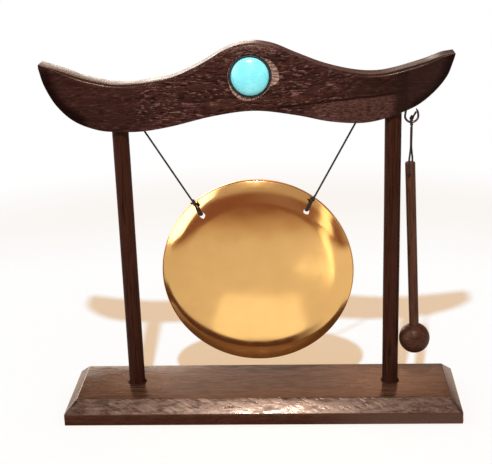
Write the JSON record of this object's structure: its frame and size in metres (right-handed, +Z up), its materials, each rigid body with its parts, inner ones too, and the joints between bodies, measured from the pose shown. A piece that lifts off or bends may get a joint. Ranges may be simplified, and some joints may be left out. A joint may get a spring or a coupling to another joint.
{
  "type": "desk gong",
  "caption": "Small brass gong hung on cords from a dark wooden stand with a curved crossbeam and a set stone, with a ball mallet on a hook.",
  "frame": {"origin": "the middle of the base board's underside, which stands on the desk", "axes": "+X to the right as one faces the gong, +Y to the back, +Z up"},
  "size_m": [0.2133, 0.0526, 0.1992],
  "materials": {
    "stand_wood": "dark brown stain over open grain, thin satin lacquer",
    "post_wood": "dark brown stain, satin",
    "mallet_wood": "brown stain, satin",
    "brass": "satin spun brass",
    "turquoise": "polished",
    "resin": "black setting resin",
    "cord": "dark twisted cord",
    "bronze": "dark bronze-coated wire"
  },
  "bodies": {
    "stand": {"base_board": "stand_wood", "left_post": "post_wood", "right_post": "post_wood", "crossbeam": "stand_wood", "stone_bed": "resin", "turquoise_stone": "turquoise", "screw_hook": "bronze", "left_cord_anchor": "cord", "right_cord_anchor": "cord"},
    "gong_cords": {"left_cord": "cord", "right_cord": "cord"},
    "gong": {"gong_disc": "brass", "left_loop": "cord", "right_loop": "cord"},
    "hitch": {"mallet_hitch": "cord"},
    "mallet_strands": {"mallet_cord": "cord"},
    "mallet": {"mallet_stick": "mallet_wood", "mallet_head": "mallet_wood"}
  },
  "joints": [
    {"name": "gong_swing", "type": "hinge", "parent": "stand", "child": "gong_cords", "pos_m": [-0.0033, 0, 0.15709], "axis": [0.9998, 0, 0.0207], "range_deg": [-30, 30]},
    {"name": "gong_tilt", "type": "hinge", "parent": "gong_cords", "child": "gong", "pos_m": [-0.00228, 0, 0.11589], "axis": [0.9997, 0, 0.0242], "range_deg": [-25, 25]},
    {"name": "mallet_side", "type": "hinge", "parent": "stand", "child": "hitch", "pos_m": [0.0785, 0, 0.16012], "axis": [0, -1, 0], "range_deg": [0, 45]},
    {"name": "mallet_front", "type": "hinge", "parent": "hitch", "child": "mallet_strands", "pos_m": [0.0785, 0, 0.15682], "axis": [1, 0, 0], "range_deg": [-50, 50]},
    {"name": "mallet_pivot", "type": "hinge", "parent": "mallet_strands", "child": "mallet", "pos_m": [0.0784, 0, 0.12982], "axis": [-0.342, -0.9397, 0], "range_deg": [0, 25]}
  ]
}
